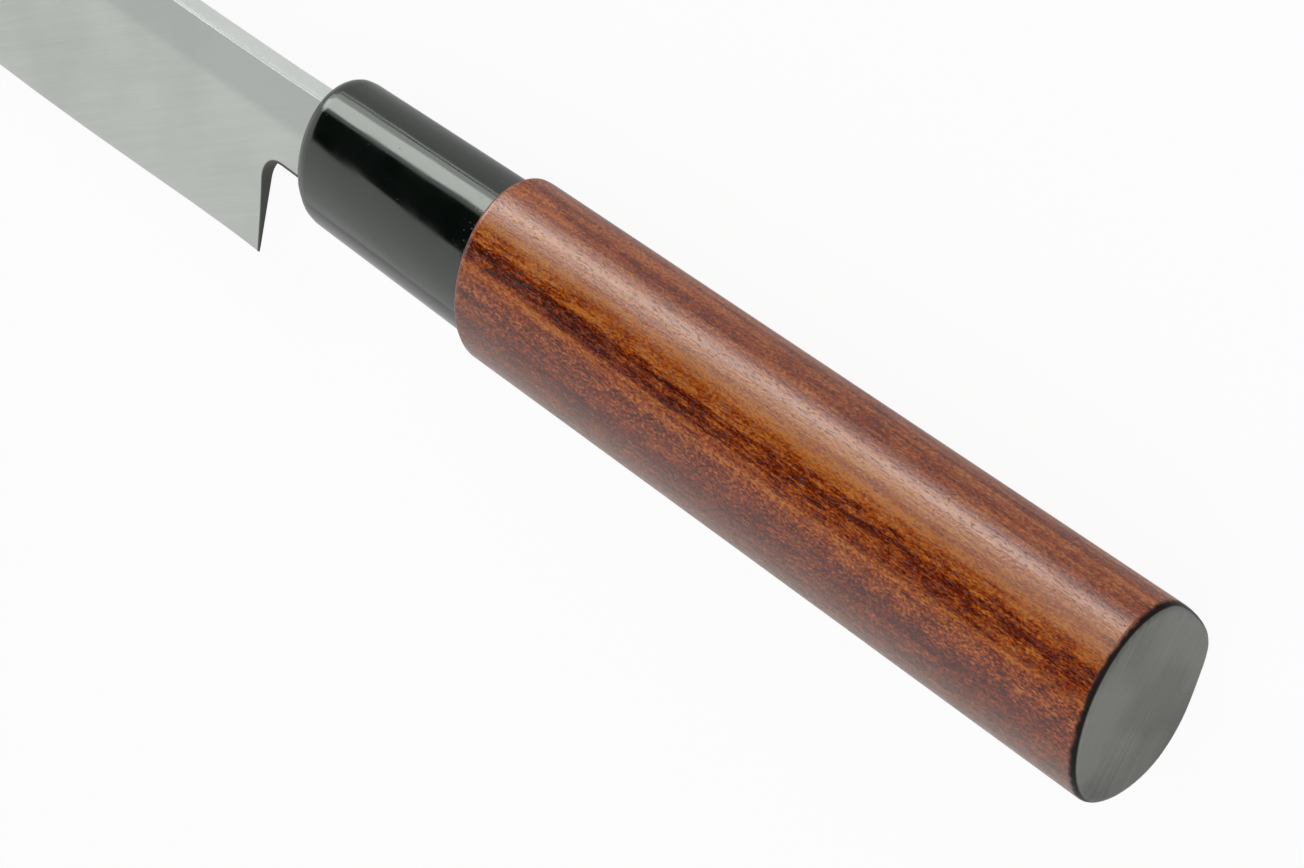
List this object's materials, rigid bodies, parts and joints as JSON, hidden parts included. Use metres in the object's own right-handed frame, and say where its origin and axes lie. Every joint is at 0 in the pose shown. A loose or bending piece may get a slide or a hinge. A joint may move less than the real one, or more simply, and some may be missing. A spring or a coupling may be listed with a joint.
{
  "type": "yanagiba knife",
  "caption": "Long narrow single-bevel slicing knife with a hollow-ground back, a black collar and a chestnut-section wooden handle.",
  "frame": {"origin": "under the middle of the knife's outline, on the surface that the handle lies on", "axes": "+X along the handle's axis towards the butt, so the tip is at -X; +Y towards the spine, so the edge is at -Y; +Z out of the blade's hollow back, with the bevelled side down"},
  "size_m": [0.3926, 0.0374, 0.0214],
  "materials": {
    "blade_steel": "satin, finely ground",
    "stained_hardwood": "red-brown stain under satin varnish, end grain blackened",
    "black_resin": "polished",
    "cured_adhesive": "cured, wiped smooth"
  },
  "bodies": {
    "root": {"blade": "blade_steel", "handle": "stained_hardwood", "ferrule": "black_resin", "tang_adhesive": "cured_adhesive", "mouth_seal": "cured_adhesive"}
  },
  "joints": []
}
